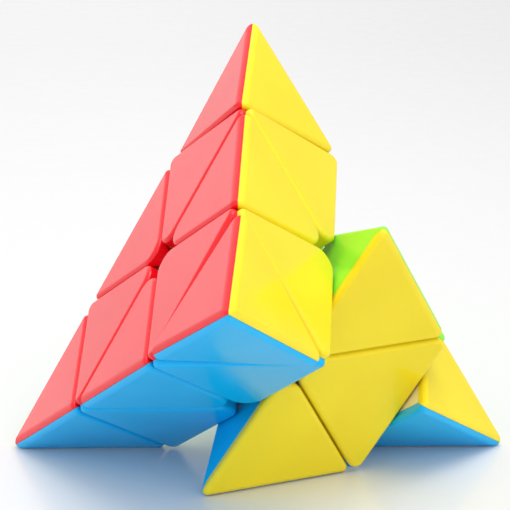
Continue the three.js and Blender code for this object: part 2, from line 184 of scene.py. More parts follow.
FILLET_STEPS = 12  # planes round a facet's corner, and one more
RIDGE_STEPS = 8  # planes round a ridge, and one more
PEG_SIDES = 24
CONE = math.radians(78)  # half-angle of the cone that parts a layer from the rest inside the ball joint
OVERLAP = 0.001  # by which a shape runs past what it cuts or joins
HEAD_STEPS = 8  # steps over a screw head's dome
DOME_SHARE = 0.45  # of the head's radius that the dome curves over
DROP_SHARE = 0.55  # of the head's height that it drops by
RECESS_TAPER = 0.4  # slope of the ends of a screw's recess
SHARP = math.radians(32)  # edges above this angle stay sharp
TOUCH = 1e-9  # distance at which a point is on a plane
SAME_POINT = 1e-8
PARALLEL = 1e-7  # triple product at which three planes have no one point in common


def unit(vector):
    return vector / np.linalg.norm(vector)


def others(*names):
    return [corner for corner in CORNERS if corner not in names]


def along(face, corner):
    """Along a face, away from its centre and towards one corner."""
    return unit(AXIS[corner] + AXIS[face] / 3)


def below(corner, height):
    return AXIS[corner], height


def above(corner, height):
    return -AXIS[corner], -height


class Layout:
    """Where the cuts, faces and joints stand, measured from the centre. A half-space is (normal, limit)."""

    def __init__(self, sizes):
        self.sizes = sizes
        height = sizes.edge * math.sqrt(2 / 3)
        self.apex = height * 3 / 4
        self.face = height / 4
        self.tip_cut = self.apex - height / 3 - sizes.tip_extra
        self.layer_cut = self.apex - height * 2 / 3
        self.half_gap = sizes.gap / 2
        self.ball = self.face - sizes.cap - sizes.ball_cover
        self.foot_peg = (self.ball / math.sqrt(3) - self.layer_cut - sizes.gap) * math.sqrt(1.5)
        self.foot_peg_end = self.ball + sizes.foot_reach
        self.well = sizes.head + sizes.well_room
        self.floor_top = self.tip_cut + self.half_gap + sizes.tip_floor
        self.base_top = self.reach(self.well, sizes.tip_cap + sizes.gap + sizes.well_wall)
        self.head_top = self.reach(sizes.head, sizes.tip_cap + sizes.gap) - sizes.head_room
        self.head_seat = self.head_top - sizes.head_height

    def reach(self, radius, depth):
        """Along a tip's axis, where a rod of this radius comes this near a face."""
        return 3 * (self.face - depth) - math.sqrt(8) * radius

    def deeper(self, face, depth):
        return above(face, depth - self.face)

    def shallower(self, face, depth):
        return below(face, depth - self.face)

    def face_centre(self, face):
        return AXIS[face] * -self.face

    def fillet(self, facet, first, second, radius):
        """Planes that round the 60 degree corner of a facet between two walls, drawn across the face."""
        rim, round_in = self.sizes.rounding, radius - self.sizes.rounding
        planes = (facet, first, second)
        corner = np.linalg.solve([normal for normal, _ in planes], [limit - rim for _, limit in planes])
        outward = first[0] + second[0]
        outward = unit(outward - facet[0] * (outward @ facet[0]))
        middle = corner - outward * 2 * round_in
        side = np.cross(facet[0], outward)
        planes = []
        for share in range(1, FILLET_STEPS):
            angle = math.radians(-60 + 120 * share / FILLET_STEPS)
            normal = outward * math.cos(angle) + side * math.sin(angle)
            planes.append((normal, normal @ middle + round_in + rim))
        return planes

    def ridge(self, first, second):
        """Planes that round one of the pyramid's own edges more than the rims."""
        extra = self.sizes.ridge - self.sizes.rounding
        cosine = first[0] @ second[0]
        inset = [limit - self.sizes.ridge for _, limit in (first, second)]
        shares = np.linalg.solve([[1, cosine], [cosine, 1]], inset)
        middle = first[0] * shares[0] + second[0] * shares[1]
        planes = []
        for share in range(1, RIDGE_STEPS):
            normal = unit(first[0] * (1 - share / RIDGE_STEPS) + second[0] * share / RIDGE_STEPS)
            planes.append((normal, normal @ middle + extra + self.sizes.rounding))
        return planes

    def shoulders(self, corner, face):
        """The two points of a corner piece's facet that lie on the pyramid's edges."""
        tip = AXIS[corner] * self.apex
        return [tip + (AXIS[end] * self.apex - tip) / 3 for end in others(corner, face)]

    def cap_middle(self, corner, face):
        first, second = self.shoulders(corner, face)
        return (first + second + self.face_centre(face)) / 3


def mitre(face, other, clearance):
    """The side of the plane midway between two faces that is nearer to the first one."""
    return unit(AXIS[face] - AXIS[other]), -clearance


# ---------------------------------------------------------------- rounded blocks


def corners_of(planes):
    """The corners of the convex solid inside some half-spaces, and which planes meet at each."""
    normals = np.array([normal for normal, _ in planes])
    limits = np.array([limit for _, limit in planes])
    triples = np.array(list(itertools.combinations(range(len(planes)), 3)))
    systems = normals[triples]
    crossing = np.abs(np.linalg.det(systems)) > PARALLEL
    points = np.linalg.solve(systems[crossing], limits[triples[crossing]][..., None])[..., 0]
    points = points[(points @ normals.T <= limits + TOUCH).all(1)]
    kept = []
    for point in points:
        if all(np.abs(point - other).max() > SAME_POINT for other in kept):
            kept.append(point)
    kept = np.array(kept)
    touching = np.abs(kept @ normals.T - limits) < 2 * TOUCH
    return kept, touching


def ring_order(points, axis):
    """Indices of points in order round an axis through their middle."""
    middle = points.mean(0)
    side = np.cross(axis, (1.0, 0.0, 0.0) if abs(axis[0]) < 0.7 else (0.0, 1.0, 0.0))
    side = unit(side)
    across = np.cross(axis, side)
    return np.argsort(np.arctan2((points - middle) @ across, (points - middle) @ side))


def arc(start, end, steps):
    """Unit vectors from one to another, evenly spaced, both ends included."""
    angle = math.acos(max(-1.0, min(1.0, float(start @ end))))
    if angle < TOUCH:
        return [start] * (steps + 1)
    shares = [index / steps for index in range(steps + 1)]
    return [(start * math.sin((1 - s) * angle) + end * math.sin(s * angle)) / math.sin(angle) for s in shares]


def rounded_block(planes, radius, step):
    """A closed mesh of the solid inside some half-spaces, with every ridge and corner rounded."""
    inset = [(normal, limit - radius) for normal, limit in planes]
    points, touching = corners_of(inset)
    faces = [plane for plane in range(len(planes)) if touching[:, plane].sum() >= 3]
    normals = {plane: planes[plane][0] for plane in faces}
    mesh = bmesh.new()
    made = {}

    def vertex(key, normal):
        if key not in made:
            made[key] = mesh.verts.new(Vector(points[key[0]] + normal * radius))
        return made[key]

    def steps_between(first, second):
        angle = math.acos(max(-1.0, min(1.0, float(normals[first] @ normals[second]))))
        return max(1, math.ceil(angle / step - 1e-6))

    def arc_vertices(corner, first, second):
        """Vertices at a corner from one face's normal to another's."""
        low, high = min(first, second), max(first, second)
        steps = steps_between(low, high)
        row = []
        for index, normal in enumerate(arc(normals[low], normals[high], steps)):
            if index in (0, steps):
                key = (corner, low if index == 0 else high)
            else:
                key = (corner, low, high, index)
            row.append(vertex(key, normal))
        return row if first == low else row[::-1]

    edges = {}
    for plane in faces:
        loop = np.flatnonzero(touching[:, plane])
        loop = loop[ring_order(points[loop], normals[plane])]
        mesh.faces.new([vertex((int(corner), plane), normals[plane]) for corner in loop])
        for start, end in zip(loop, np.roll(loop, -1)):
            edges.setdefault((min(start, end), max(start, end)), []).append(plane)
    for (start, end), pair in edges.items():
        near, far = arc_vertices(int(start), *pair), arc_vertices(int(end), *pair)
        for index in range(len(near) - 1):
            mesh.faces.new((near[index], near[index + 1], far[index + 1], far[index]))
    for corner in range(len(points)):
        meeting = np.array([plane for plane in faces if touching[corner, plane]])
        fan = np.array([normals[plane] for plane in meeting])
        middle = unit(fan.sum(0))
        meeting = meeting[ring_order(fan, middle)]
        rim = []
        for first, second in zip(meeting, np.roll(meeting, -1)):
            rim.extend(arc_vertices(corner, int(first), int(second))[:-1])
        spread = max(math.acos(max(-1.0, min(1.0, float(normal @ middle)))) for normal in fan)
        rings = max(1, math.ceil(spread / step))
        outer = rim
        starts = [unit(np.array(item.co) - points[corner]) for item in rim]
        for ring in range(1, rings):
            inner = []
            for start in starts:
                normal = arc(start, middle, rings)[ring]
                inner.append(mesh.verts.new(Vector(points[corner] + normal * radius)))
            for index in range(len(outer)):
                after = (index + 1) % len(outer)
                mesh.faces.new((outer[index], outer[after], inner[after], inner[index]))
            outer = inner
        peak = mesh.verts.new(Vector(points[corner] + middle * radius))
        for index in range(len(outer)):
            mesh.faces.new((outer[index], outer[(index + 1) % len(outer)], peak))
    bmesh.ops.recalc_face_normals(mesh, faces=mesh.faces)
    return mesh


def block(planes):
    """A closed mesh of the solid inside some half-spaces, with sharp edges."""
    points, touching = corners_of(planes)
    mesh = bmesh.new()
    verts = [mesh.verts.new(Vector(point)) for point in points]
    for plane, (normal, _) in enumerate(planes):
        loop = np.flatnonzero(touching[:, plane])
        if len(loop) >= 3:
            mesh.faces.new([verts[corner] for corner in loop[ring_order(points[loop], normal)]])
    bmesh.ops.recalc_face_normals(mesh, faces=mesh.faces)
    return mesh


def cut(mesh, *planes):
    """Keeps what lies inside each half-space, and closes the cuts."""
    for normal, limit in planes:
        geometry = mesh.verts[:] + mesh.edges[:] + mesh.faces[:]
        place = Vector(normal * limit)
        bmesh.ops.bisect_plane(
            mesh, geom=geometry, dist=SAME_POINT, plane_co=place, plane_no=Vector(normal), clear_outer=True
        )
        bmesh.ops.holes_fill(mesh, edges=[edge for edge in mesh.edges if edge.is_boundary], sides=0)
    bmesh.ops.recalc_face_normals(mesh, faces=mesh.faces)
    return mesh


def lathe(axis, outline, sides, centre=None):
    """A closed solid of revolution; the outline is (radius, height) pairs, first and last on the axis."""
    mesh = bmesh.new()
    side = unit(np.cross(axis, (0.31, 0.92, 0.23)))
    across = np.cross(axis, side)
    start = np.zeros(3) if centre is None else centre
    angles = [2 * math.pi * index / sides for index in range(sides)]
    rows = []
    for radius, height in outline:
        if radius == 0:
            rows.append([mesh.verts.new(Vector(start + axis * height))])
            continue
        ring = [side * math.cos(angle) + across * math.sin(angle) for angle in angles]
        rows.append([mesh.verts.new(Vector(start + axis * height + spoke * radius)) for spoke in ring])
    for low, high in zip(rows, rows[1:]):
        for index in range(sides):
            after = (index + 1) % sides
            if len(low) == 1:
                mesh.faces.new((low[0], high[index], high[after]))
            elif len(high) == 1:
                mesh.faces.new((low[index], low[after], high[0]))
            else:
                mesh.faces.new((low[index], low[after], high[after], high[index]))
    bmesh.ops.recalc_face_normals(mesh, faces=mesh.faces)
    return mesh


def rod(axis, radius, start, end, sides, centre=None):
    return lathe(axis, [(0, start), (radius, start), (radius, end), (0, end)], sides, centre)


def ball(radius, sides):
    rows = sides // 2
    angles = [math.pi * row / rows for row in range(1, rows)]
    outline = [(radius * math.sin(angle), -radius * math.cos(angle)) for angle in angles]
    return lathe(AXIS["top"], [(0, -radius), *outline, (0, radius)], sides)


# ---------------------------------------------------------------- objects


def new_object(name, mesh):
    data = bpy.data.meshes.new(name)
    mesh.to_mesh(data)
    mesh.free()
    piece = bpy.data.objects.new(name, data)
    bpy.context.scene.collection.objects.link(piece)
    return piece


def combine(piece, operation, *tools):
    """Joins or cuts a piece with closed meshes, and takes them away."""
    for number, tool in enumerate(tools):
        other = new_object(f"{piece.name}_tool_{number}", tool)
        modifier = piece.modifiers.new("combine", "BOOLEAN")
        modifier.operation = operation
        modifier.solver = "MANIFOLD"
        modifier.object = other
        result = plain_mesh(piece)
        piece.modifiers.clear()
        old, piece.data = piece.data, result
        bpy.data.meshes.remove(old)
        bpy.data.objects.remove(other)
    return piece


def peg(sizes, face, spot):
    """The peg on the back of a cap, under a spot on its face."""
    return rod(AXIS[face], sizes.peg, sizes.cap / 2, sizes.cap + sizes.peg_length, PEG_SIDES, spot)


def peg_socket(sizes, face, spot):
    """What the body under a cap is bored with for the cap's peg."""
    root = spot + AXIS[face] * sizes.cap
    depth = sizes.peg_length + sizes.gap
    return rod(AXIS[face], sizes.peg + sizes.gap, -OVERLAP / 2, depth, PEG_SIDES, root)


def skirt_rod(sizes, layout, face, clearance):
    """A plug round a face's centre, as deep as the caps' rims are there."""
    end = sizes.cap + sizes.skirt_depth + clearance
    return rod(AXIS[face], sizes.skirt + clearance, -OVERLAP, end, sizes.sides, layout.face_centre(face))


def add_skirt(cap, solid, sizes, layout, face):
    """Deepens a cap round its face's centre, so that no other colour shows in the hole there."""
    rim = new_object(f"{cap.name}_rim", solid)
    combine(rim, "INTERSECT", skirt_rod(sizes, layout, face, 0))
    shape = bmesh.new()
    shape.from_mesh(rim.data)
    bpy.data.objects.remove(rim)
    return combine(cap, "UNION", shape)


def plain_mesh(piece):
    graph = bpy.context.evaluated_depsgraph_get()
    graph.update()
    return bpy.data.meshes.new_from_object(piece.evaluated_get(graph))


def turning(axis, angle):
    return Matrix.Rotation(angle, 4, Vector(axis))


def in_layer(sizes, corner_names):
    """The body a piece turns with, and its turn from the solved puzzle."""
    if "right" in corner_names:
        return "layer_right", turning(AXIS["right"], sizes.slice_turn)
    return "root", Matrix.Identity(4)


def finish_piece(piece, body, node, stuff, placed):
    """Puts a piece where the frame has it, and gives it the finish of what it is made of."""
    piece.data.transform(Matrix.Translation(Vector(CENTRE)) @ placed)
    piece.data.materials.clear()
    piece.data.materials.append(finish_of(stuff))
    piece.data.polygons.foreach_set("use_smooth", [True] * len(piece.data.polygons))
    piece.data.set_sharp_from_angle(angle=SHARP)
    weighted = piece.modifiers.new("Smooth flats", "WEIGHTED_NORMAL")
    weighted.weight = 100
    weighted.keep_sharp = True
    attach(piece, body)
    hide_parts(node)
    return piece


# ---------------------------------------------------------------- node trees for threads and coils


class Tree:
    """A Geometry Nodes tree with named inputs, whose shape is worked out by formulas."""

    def __init__(self, name, **inputs):
        self.group = bpy.data.node_groups.new(name, "GeometryNodeTree")
        self.interface = self.group.interface
        self.values = inputs
        self.sockets = {}
        for label, value in inputs.items():
            title = label.replace("_", " ").capitalize()
            kind = "NodeSocketInt" if isinstance(value, int) else "NodeSocketFloat"
            if isinstance(value, bpy.types.Material):
                kind = "NodeSocketMaterial"
            self.sockets[label] = self.interface.new_socket(title, in_out="INPUT", socket_type=kind)
        self.interface.new_socket("Geometry", in_out="OUTPUT", socket_type="NodeSocketGeometry")
        given = self.add("NodeGroupInput")
        self.given = {label: given.outputs[index] for index, label in enumerate(inputs)}

    def add(self, kind, **inputs):
        node = self.group.nodes.new(kind)
        for label, value in inputs.items():
            self.feed(value, node.inputs[label.replace("_", " ")])
        return node

    def feed(self, value, socket):
        if isinstance(value, bpy.types.NodeSocket):
            self.group.links.new(value, socket)
        else:
            socket.default_value = value

    def math(self, operation, *values, clamp=False):
        node = self.group.nodes.new("ShaderNodeMath")
        node.operation = operation
        node.use_clamp = clamp
        for value, socket in zip(values, node.inputs):
            self.feed(value, socket)
        return node.outputs[0]

    def place(self):
        """The x, y and z of every point."""
        position = self.add("GeometryNodeInputPosition").outputs[0]
        return self.add("ShaderNodeSeparateXYZ", Vector=position).outputs

    def finish(self, geometry):
        """Ends the tree, and gives the piece that it makes as a plain mesh object."""
        real = self.add("GeometryNodeRealizeInstances", Geometry=geometry)
        painted = self.add(
            "GeometryNodeSetMaterial", Geometry=real.outputs[0], Material=self.given["material"]
        )
        self.feed(painted.outputs[0], self.add("NodeGroupOutput").inputs["Geometry"])
        piece = new_object(self.group.name, bmesh.new())
        modifier = piece.modifiers.new("Shape", "NODES")
        modifier.node_group = self.group
        for label, value in self.values.items():
            modifier[self.sockets[label].identifier] = value
        result = plain_mesh(piece)
        piece.modifiers.clear()
        old, piece.data = piece.data, result
        bpy.data.meshes.remove(old)
        tidy = bmesh.new()
        tidy.from_mesh(result)
        bmesh.ops.recalc_face_normals(tidy, faces=tidy.faces)
        tidy.to_mesh(result)
        tidy.free()
        return piece


def threaded_shank(name, **inputs):
    """A shank with a single thread, pointed at its foot and plain under its head, along +Z."""
    tree = Tree(name, **inputs)
    given, math_ = tree.given, tree.math
    columns, rows = math_("ADD", given["sides"], 1), math_("ADD", given["rows"], 1)
    sheet = tree.add("GeometryNodeMeshGrid", Size_X=1.0, Size_Y=1.0, Vertices_X=columns, Vertices_Y=rows)
    x, y, _ = tree.place()
    share, height_share = math_("ADD", x, 0.5), math_("ADD", y, 0.5)
    angle = math_("MULTIPLY", share, 2 * math.pi)
    height = math_("MULTIPLY", height_share, given["length"])
    phase = math_("FRACT", math_("SUBTRACT", math_("DIVIDE", height, given["pitch"]), share))
    valley = math_("SUBTRACT", 1.0, math_("ABSOLUTE", math_("MULTIPLY_ADD", phase, 2.0, -1.0)))
    left = math_("DIVIDE", math_("SUBTRACT", given["length"], height), given["plain"])
    valley = math_("MULTIPLY", valley, math_("SUBTRACT", left, 1.0, clamp=True))
    point = math_("DIVIDE", height, given["radius"], clamp=True)
    open_end = math_("LESS_THAN", height_share, 0.9999)
    radius = math_("SUBTRACT", given["radius"], math_("MULTIPLY", valley, given["depth"]))
    radius = math_("MULTIPLY", math_("MULTIPLY", radius, point), open_end)
    across = math_("MULTIPLY", radius, math_("COSINE", angle))
    along_y = math_("MULTIPLY", radius, math_("SINE", angle))
    spot = tree.add("ShaderNodeCombineXYZ", X=across, Y=along_y, Z=height)
    rolled = tree.add("GeometryNodeSetPosition", Geometry=sheet.outputs["Mesh"], Position=spot.outputs[0])
    closed = tree.add("GeometryNodeMergeByDistance", Geometry=rolled.outputs[0], Distance=2e-6)
    return tree.finish(closed.outputs[0])


def coil_spring(name, **inputs):
    """A compression spring along +Z, with one closed turn at each end."""
    tree = Tree(name, **inputs)
    given, math_ = tree.given, tree.math
    helix = tree.add(
        "GeometryNodeCurveSpiral",
        Resolution=given["steps"], Rotations=given["turns"], Start_Radius=given["radius"],
        End_Radius=given["radius"], Height=given["turns"],
    )
    x, y, turns_up = tree.place()
    shut = math_("MULTIPLY", given["wire"], 2.1)
    working = math_("SUBTRACT", given["turns"], 2.0)
    foot = math_("MINIMUM", turns_up, 1.0)
    middle = math_("DIVIDE", math_("SUBTRACT", turns_up, 1.0), working, clamp=True)
    head = math_("SUBTRACT", math_("SUBTRACT", turns_up, 1.0), working, clamp=True)
    rise = math_("SUBTRACT", given["height"], math_("MULTIPLY", shut, 2.0))
    height = math_("MULTIPLY_ADD", math_("ADD", foot, head), shut, math_("MULTIPLY", middle, rise))
    spot = tree.add("ShaderNodeCombineXYZ", X=x, Y=y, Z=height)
    wound = tree.add("GeometryNodeSetPosition", Geometry=helix.outputs[0], Position=spot.outputs[0])
    section = tree.add(
        "GeometryNodeCurvePrimitiveCircle", Resolution=given["wire_sides"], Radius=given["wire"]
    )
    wire = tree.add("GeometryNodeCurveToMesh", Curve=wound.outputs[0], Profile_Curve=section.outputs[0])
    wire.inputs["Fill Caps"].default_value = True
    return tree.finish(wire.outputs[0])


# ---------------------------------------------------------------- finishes


class Nodes:
    """A small helper that adds and links shader nodes."""

    def __init__(self, name):
        self.material = bpy.data.materials.new(name)
        self.material.use_nodes = True
        self.tree = self.material.node_tree
        self.tree.nodes.clear()
        self.output = self.add("ShaderNodeOutputMaterial")
        self.shader = self.add("ShaderNodeBsdfPrincipled")
        self.link(self.shader.outputs[0], self.output.inputs["Surface"])
        self.place = self.add("ShaderNodeTexCoord").outputs["Object"]

    def add(self, kind, **values):
        node = self.tree.nodes.new(kind)
        for name, value in values.items():
            if name in node.inputs:
                node.inputs[name].default_value = value
            else:
                setattr(node, name, value)
        return node

    def link(self, source, target):
        self.tree.links.new(source, target)

    def noise(self, scale, detail=3.0, roughness=0.55, stretch=None, distortion=0.0):
        node = self.add("ShaderNodeTexNoise", Scale=scale, Detail=detail, Roughness=roughness)
        node.inputs["Distortion"].default_value = distortion
        if stretch is None:
            self.link(self.place, node.inputs["Vector"])
        else:
            mapping = self.add("ShaderNodeMapping", Scale=stretch[0], Rotation=stretch[1])
            self.link(self.place, mapping.inputs["Vector"])
            self.link(mapping.outputs[0], node.inputs["Vector"])
        return node.outputs["Fac"]

    def remap(self, source, from_low, from_high, to_low, to_high):
        node = self.add("ShaderNodeMapRange")
        limits = {"From Min": from_low, "From Max": from_high, "To Min": to_low, "To Max": to_high}
        for name, value in limits.items():
            node.inputs[name].default_value = value
        self.link(source, node.inputs["Value"])
        return node.outputs["Result"]

    def mix(self, factor, first, second):
        node = self.add("ShaderNodeMix", data_type="RGBA")
        self.link(factor, node.inputs["Factor"])
        node.inputs[6].default_value = (*first, 1.0)
        node.inputs[7].default_value = (*second, 1.0)
        return node.outputs[2]

    def bump(self, height, distance, strength, normal=None):
        node = self.add("ShaderNodeBump", Distance=distance, Strength=strength)
        self.link(height, node.inputs["Height"])
        if normal is not None:
            self.link(normal, node.inputs["Normal"])
        return node.outputs["Normal"]


def plastic(name, base, gloss, scatter, shine):
    """Moulded plastic: a faint flow of colour, a soft wave left by the mould, fine grain and hairlines."""
    nodes = Nodes(name)
    shader = nodes.shader
    darker = [channel * 0.93 for channel in base]
    lighter = [min(1.0, channel * 1.03 + 0.002) for channel in base]
    flow = nodes.remap(nodes.noise(scale=38.0, detail=2.0, roughness=0.5), 0.3, 0.7, 0.0, 1.0)
    nodes.link(nodes.mix(flow, darker, lighter), shader.inputs["Base Color"])
    smear = nodes.noise(scale=160.0, detail=4.0, roughness=0.6)
    nodes.link(nodes.remap(smear, 0.3, 0.75, gloss * 0.75, gloss * 1.35), shader.inputs["Roughness"])
    ripple = nodes.noise(scale=75.0, detail=1.0, roughness=0.4)
    wave = nodes.bump(ripple, distance=0.00012, strength=0.35)
    specks = nodes.noise(scale=2600.0, detail=2.0, roughness=0.5)
    grain = nodes.bump(specks, distance=0.00001, strength=0.25, normal=wave)
    streaks = ((1.0, 0.06, 0.3), (0.4, 0.9, 0.2))
    hairs = nodes.noise(scale=420.0, detail=2.0, roughness=0.5, stretch=streaks, distortion=0.6)
    lines = nodes.remap(hairs, 0.485, 0.5, 0.0, 1.0)
    scored = nodes.bump(lines, distance=0.000006, strength=0.3, normal=grain)
    nodes.link(scored, shader.inputs["Normal"])
    shader.inputs["IOR"].default_value = 1.5
    shader.inputs["Specular IOR Level"].default_value = shine
    shader.inputs["Subsurface Weight"].default_value = scatter
    shader.inputs["Subsurface Radius"].default_value = (1.0, 0.6, 0.4)
    shader.inputs["Subsurface Scale"].default_value = 0.0012
    return nodes.material


def steel(name, base):
    """Drawn steel: fine rings, a little oil and brightness that varies."""
    nodes = Nodes(name)
    shader = nodes.shader
    tone = nodes.remap(nodes.noise(900.0, 3.0), 0.3, 0.7, 0.0, 1.0)
    nodes.link(nodes.mix(tone, [channel * 0.82 for channel in base], base), shader.inputs["Base Color"])
    nodes.link(nodes.remap(nodes.noise(2200.0, 4.0), 0.3, 0.7, 0.22, 0.42), shader.inputs["Roughness"])
    rings = ((0.05, 1.0, 1.0), (0.0, 0.6, 0.3))
    brushed = nodes.noise(scale=3000.0, detail=2.0, roughness=0.6, stretch=rings)
    nodes.link(nodes.bump(brushed, distance=0.00001, strength=0.5), shader.inputs["Normal"])
    shader.inputs["Metallic"].default_value = 1.0
    return nodes.material


def paper(name, base):
    """Smooth white card for the floor, with a slight sheen and a faint random cloud of tone, and painted
    shade that makes it a little greyer away from the middle, in place of light that falls off there.
    """
    nodes = Nodes(name)
    shader = nodes.shader
    # Painted shade: the card's colour darkens with distance from the floor's middle, in place of the light
    # falling off away from the puzzle.
    away = nodes.add("ShaderNodeVectorMath", operation="LENGTH")
    nodes.link(nodes.place, away.inputs[0])
    painted_falloff = nodes.remap(away.outputs["Value"], 0.1, 0.4, 0.0, 1.0)
    cloud_and_painted_falloff = nodes.add("ShaderNodeMath", operation="MULTIPLY_ADD")
    nodes.link(nodes.noise(9.0, 2.0), cloud_and_painted_falloff.inputs[0])
    cloud_and_painted_falloff.inputs[1].default_value = 0.06
    nodes.link(painted_falloff, cloud_and_painted_falloff.inputs[2])
    # The darker card colour, reached both through the random cloud of tone and through the painted shade.
    card_tone_and_painted_shade = [channel * 0.9 for channel in base]
    nodes.link(nodes.mix(cloud_and_painted_falloff.outputs[0], base, card_tone_and_painted_shade), shader.inputs["Base Color"])
    nodes.link(nodes.remap(nodes.noise(220.0, 3.0), 0.3, 0.7, 0.16, 0.24), shader.inputs["Roughness"])
    shader.inputs["IOR"].default_value = 1.4
    shader.inputs["Specular IOR Level"].default_value = 0.3
    return nodes.material


def finish_of(name):
    """The finish for a colour's name, made once."""
    made = bpy.data.materials.get(FINISH[name])
    if made:
        return made
    base = list(getattr(bpy.context.scene.puzzle_colours, name))
    if name == "steel":
        return steel(FINISH[name], base)
    if name == "paper":
        return paper(FINISH[name], base)
    return plastic(FINISH[name], base, *MOULDED[name])


FINISH = {
    "red": "Gloss red plastic",
    "yellow": "Gloss yellow plastic",
    "blue": "Gloss blue plastic",
    "green": "Gloss green plastic",
    "natural": "Natural plastic",
    "core": "Dark core plastic",
    "steel": "Bright steel",
    "paper": "White card",
}
MOULDED = {  # roughness, light scattered inside and strength of the gloss
    "red": (0.16, 0.12, 0.5),
    "yellow": (0.16, 0.12, 0.32),
    "blue": (0.15, 0.12, 0.25),
    "green": (0.16, 0.12, 0.4),
    "natural": (0.42, 0.15, 0.5),
    "core": (0.5, 0.0, 0.5),
}
SLOT = {name: f"{name}_plastic" for name in MOULDED}
SLOT["steel"] = "steel"


# ---------------------------------------------------------------- operators


class PUZZLE_OT_tips(bpy.types.Operator):
    """Make the four tips, each of three caps on a base"""

    bl_idname = "puzzle.tips"
    bl_label = "Tips"

    def execute(self, context):
        sizes = context.scene.puzzle_sizes
        layout = Layout(sizes)
        for corner in CORNERS:
            body = f"tip_{corner}"
            placed = turning(AXIS[corner], getattr(sizes, body))
            faces = others(corner)
            facets = [layout.deeper(face, 0) for face in faces]
            whole = [*facets, above(corner, layout.tip_cut + layout.half_gap)]
            for first, second in itertools.combinations(facets, 2):
                whole.extend(layout.ridge(first, second))
            solid = rounded_block(whole, sizes.rounding, sizes.step)
            for face in faces:
                shade = FACE_COLOUR[face]
                sides = [mitre(face, other, sizes.seam / 2) for other in others(corner, face)]
                plate = cut(solid.copy(), layout.shallower(face, sizes.tip_cap), *sides)
                cap = new_object(f"Tip_{corner}_{shade}", plate)
                finish_piece(cap, body, f"tip_{corner}_cap_{shade}", shade, placed)
            seats = [layout.deeper(face, sizes.tip_cap + sizes.seam) for face in faces]
            base = new_object(f"Tip_{corner}_inner", cut(solid, *seats, below(corner, layout.base_top)))
            well = rod(AXIS[corner], layout.well, layout.floor_top, layout.apex, sizes.sides)
            hole = rod(AXIS[corner], sizes.screw + sizes.gap, 0, layout.apex, sizes.sides)
            combine(base, "DIFFERENCE", well, hole)
            finish_piece(base, body, f"tip_{corner}_base", "natural", placed)
        return {"FINISHED"}


class PUZZLE_OT_corners(bpy.types.Operator):
    """Make the four corner pieces, each of three caps on a body"""

    bl_idname = "puzzle.corners"
    bl_label = "Corner pieces"

    def execute(self, context):
        sizes = context.scene.puzzle_sizes
        layout = Layout(sizes)
        near = layout.layer_cut - layout.half_gap
        for corner in CORNERS:
            body, placed = in_layer(sizes, (corner,))
            faces = others(corner)
            facets = {face: layout.deeper(face, 0) for face in faces}
            walls = {face: below(face, near) for face in faces}
            top = below(corner, layout.tip_cut - layout.half_gap)
            bottom = above(corner, layout.layer_cut + layout.half_gap)
            whole = [*facets.values(), *walls.values(), top, bottom]
            for first, second in itertools.combinations(faces, 2):
                whole.extend(layout.ridge(facets[first], facets[second]))
            fillets = {}
            for face in faces:
                shade = FACE_COLOUR[face]
                beside = [walls[other] for other in others(corner, face)]
                fillets[face] = layout.fillet(facets[face], *beside, sizes.centre_fillet)
                for wall in beside:
                    fillets[face] += layout.fillet(facets[face], wall, top, sizes.shoulder_fillet)
                sides = [mitre(face, other, sizes.seam / 2) for other in others(corner, face)]
                solid = rounded_block([*whole, *fillets[face]], sizes.rounding, sizes.step)
                plate = cut(solid.copy(), layout.shallower(face, sizes.cap), *sides)
                cap = add_skirt(new_object(f"Corner_{corner}_{shade}", plate), solid, sizes, layout, face)
                combine(cap, "UNION", peg(sizes, face, layout.cap_middle(corner, face)))
                finish_piece(cap, body, f"corner_{corner}_cap_{shade}", shade, placed)
            seats = [layout.deeper(face, sizes.cap + sizes.seam) for face in faces]
            under = [*seats, *walls.values(), top, bottom, *itertools.chain(*fillets.values())]
            inner = self.inner(sizes, layout, corner, block(under))
            finish_piece(inner, body, f"corner_{corner}_body", "natural", placed)
        return {"FINISHED"}

    def inner(self, sizes, layout, corner, solid):
        """The body under the caps, with its ball seat, stem, bore and peg sockets."""
        axis = AXIS[corner]
        inner = new_object(f"Corner_{corner}_inner", solid)
        combine(inner, "DIFFERENCE", ball(layout.ball + layout.half_gap, sizes.sides))
        slope = math.tan(math.acos(-1 / 3) - CONE)
        sideways = layout.half_gap * math.hypot(1, slope)
        foot, top = sizes.core + sizes.gap, layout.ball + OVERLAP
        stem = [(0, foot), (foot * slope - sideways, foot), (top * slope - sideways, top), (0, top)]
        combine(inner, "UNION", lathe(axis, stem, sizes.sides))
        bores = [
            rod(axis, sizes.arm + sizes.gap, 0, sizes.arm_end + sizes.gap, sizes.sides),
            rod(axis, sizes.screw + sizes.gap, 0, layout.apex, sizes.sides),
        ]
        for face in others(corner):
            bores.append(skirt_rod(sizes, layout, face, sizes.seam))
            bores.append(peg_socket(sizes, face, layout.cap_middle(corner, face)))
        return combine(inner, "DIFFERENCE", *bores)


